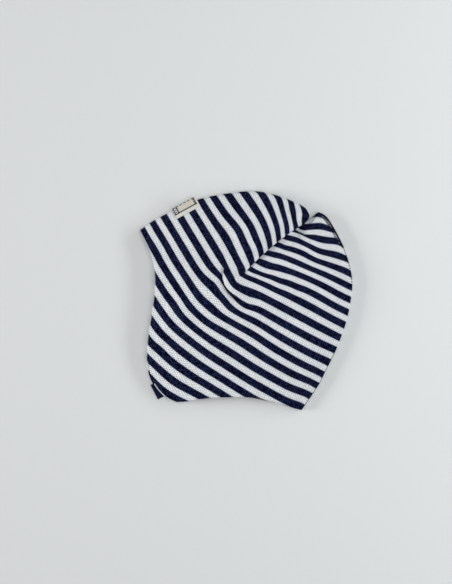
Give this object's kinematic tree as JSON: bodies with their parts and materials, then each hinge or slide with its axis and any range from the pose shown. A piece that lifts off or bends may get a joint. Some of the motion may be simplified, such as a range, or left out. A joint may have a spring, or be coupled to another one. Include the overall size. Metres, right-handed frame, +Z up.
{
  "type": "earflap hat",
  "caption": "Child's striped double-knit earflap hat lying flat on its side, with a side dart, a back seam, a small front label and a side tab.",
  "frame": {"origin": "middle of the hat's box on the surface that it lies on", "axes": "+X from the face edge to the back seam, +Y from the ear flaps to the crown, +Z up from the surface, through the hat's side"},
  "size_m": [0.2112, 0.2188, 0.0263],
  "materials": {
    "striped_knit": "ribbed double knit, off-white with navy stripes",
    "woven_label": "woven cream tape",
    "navy_ribbon": "woven navy ribbon"
  },
  "bodies": {
    "root": {"cap_body": "striped_knit", "front_label": "woven_label", "side_tab": "navy_ribbon"}
  },
  "joints": []
}
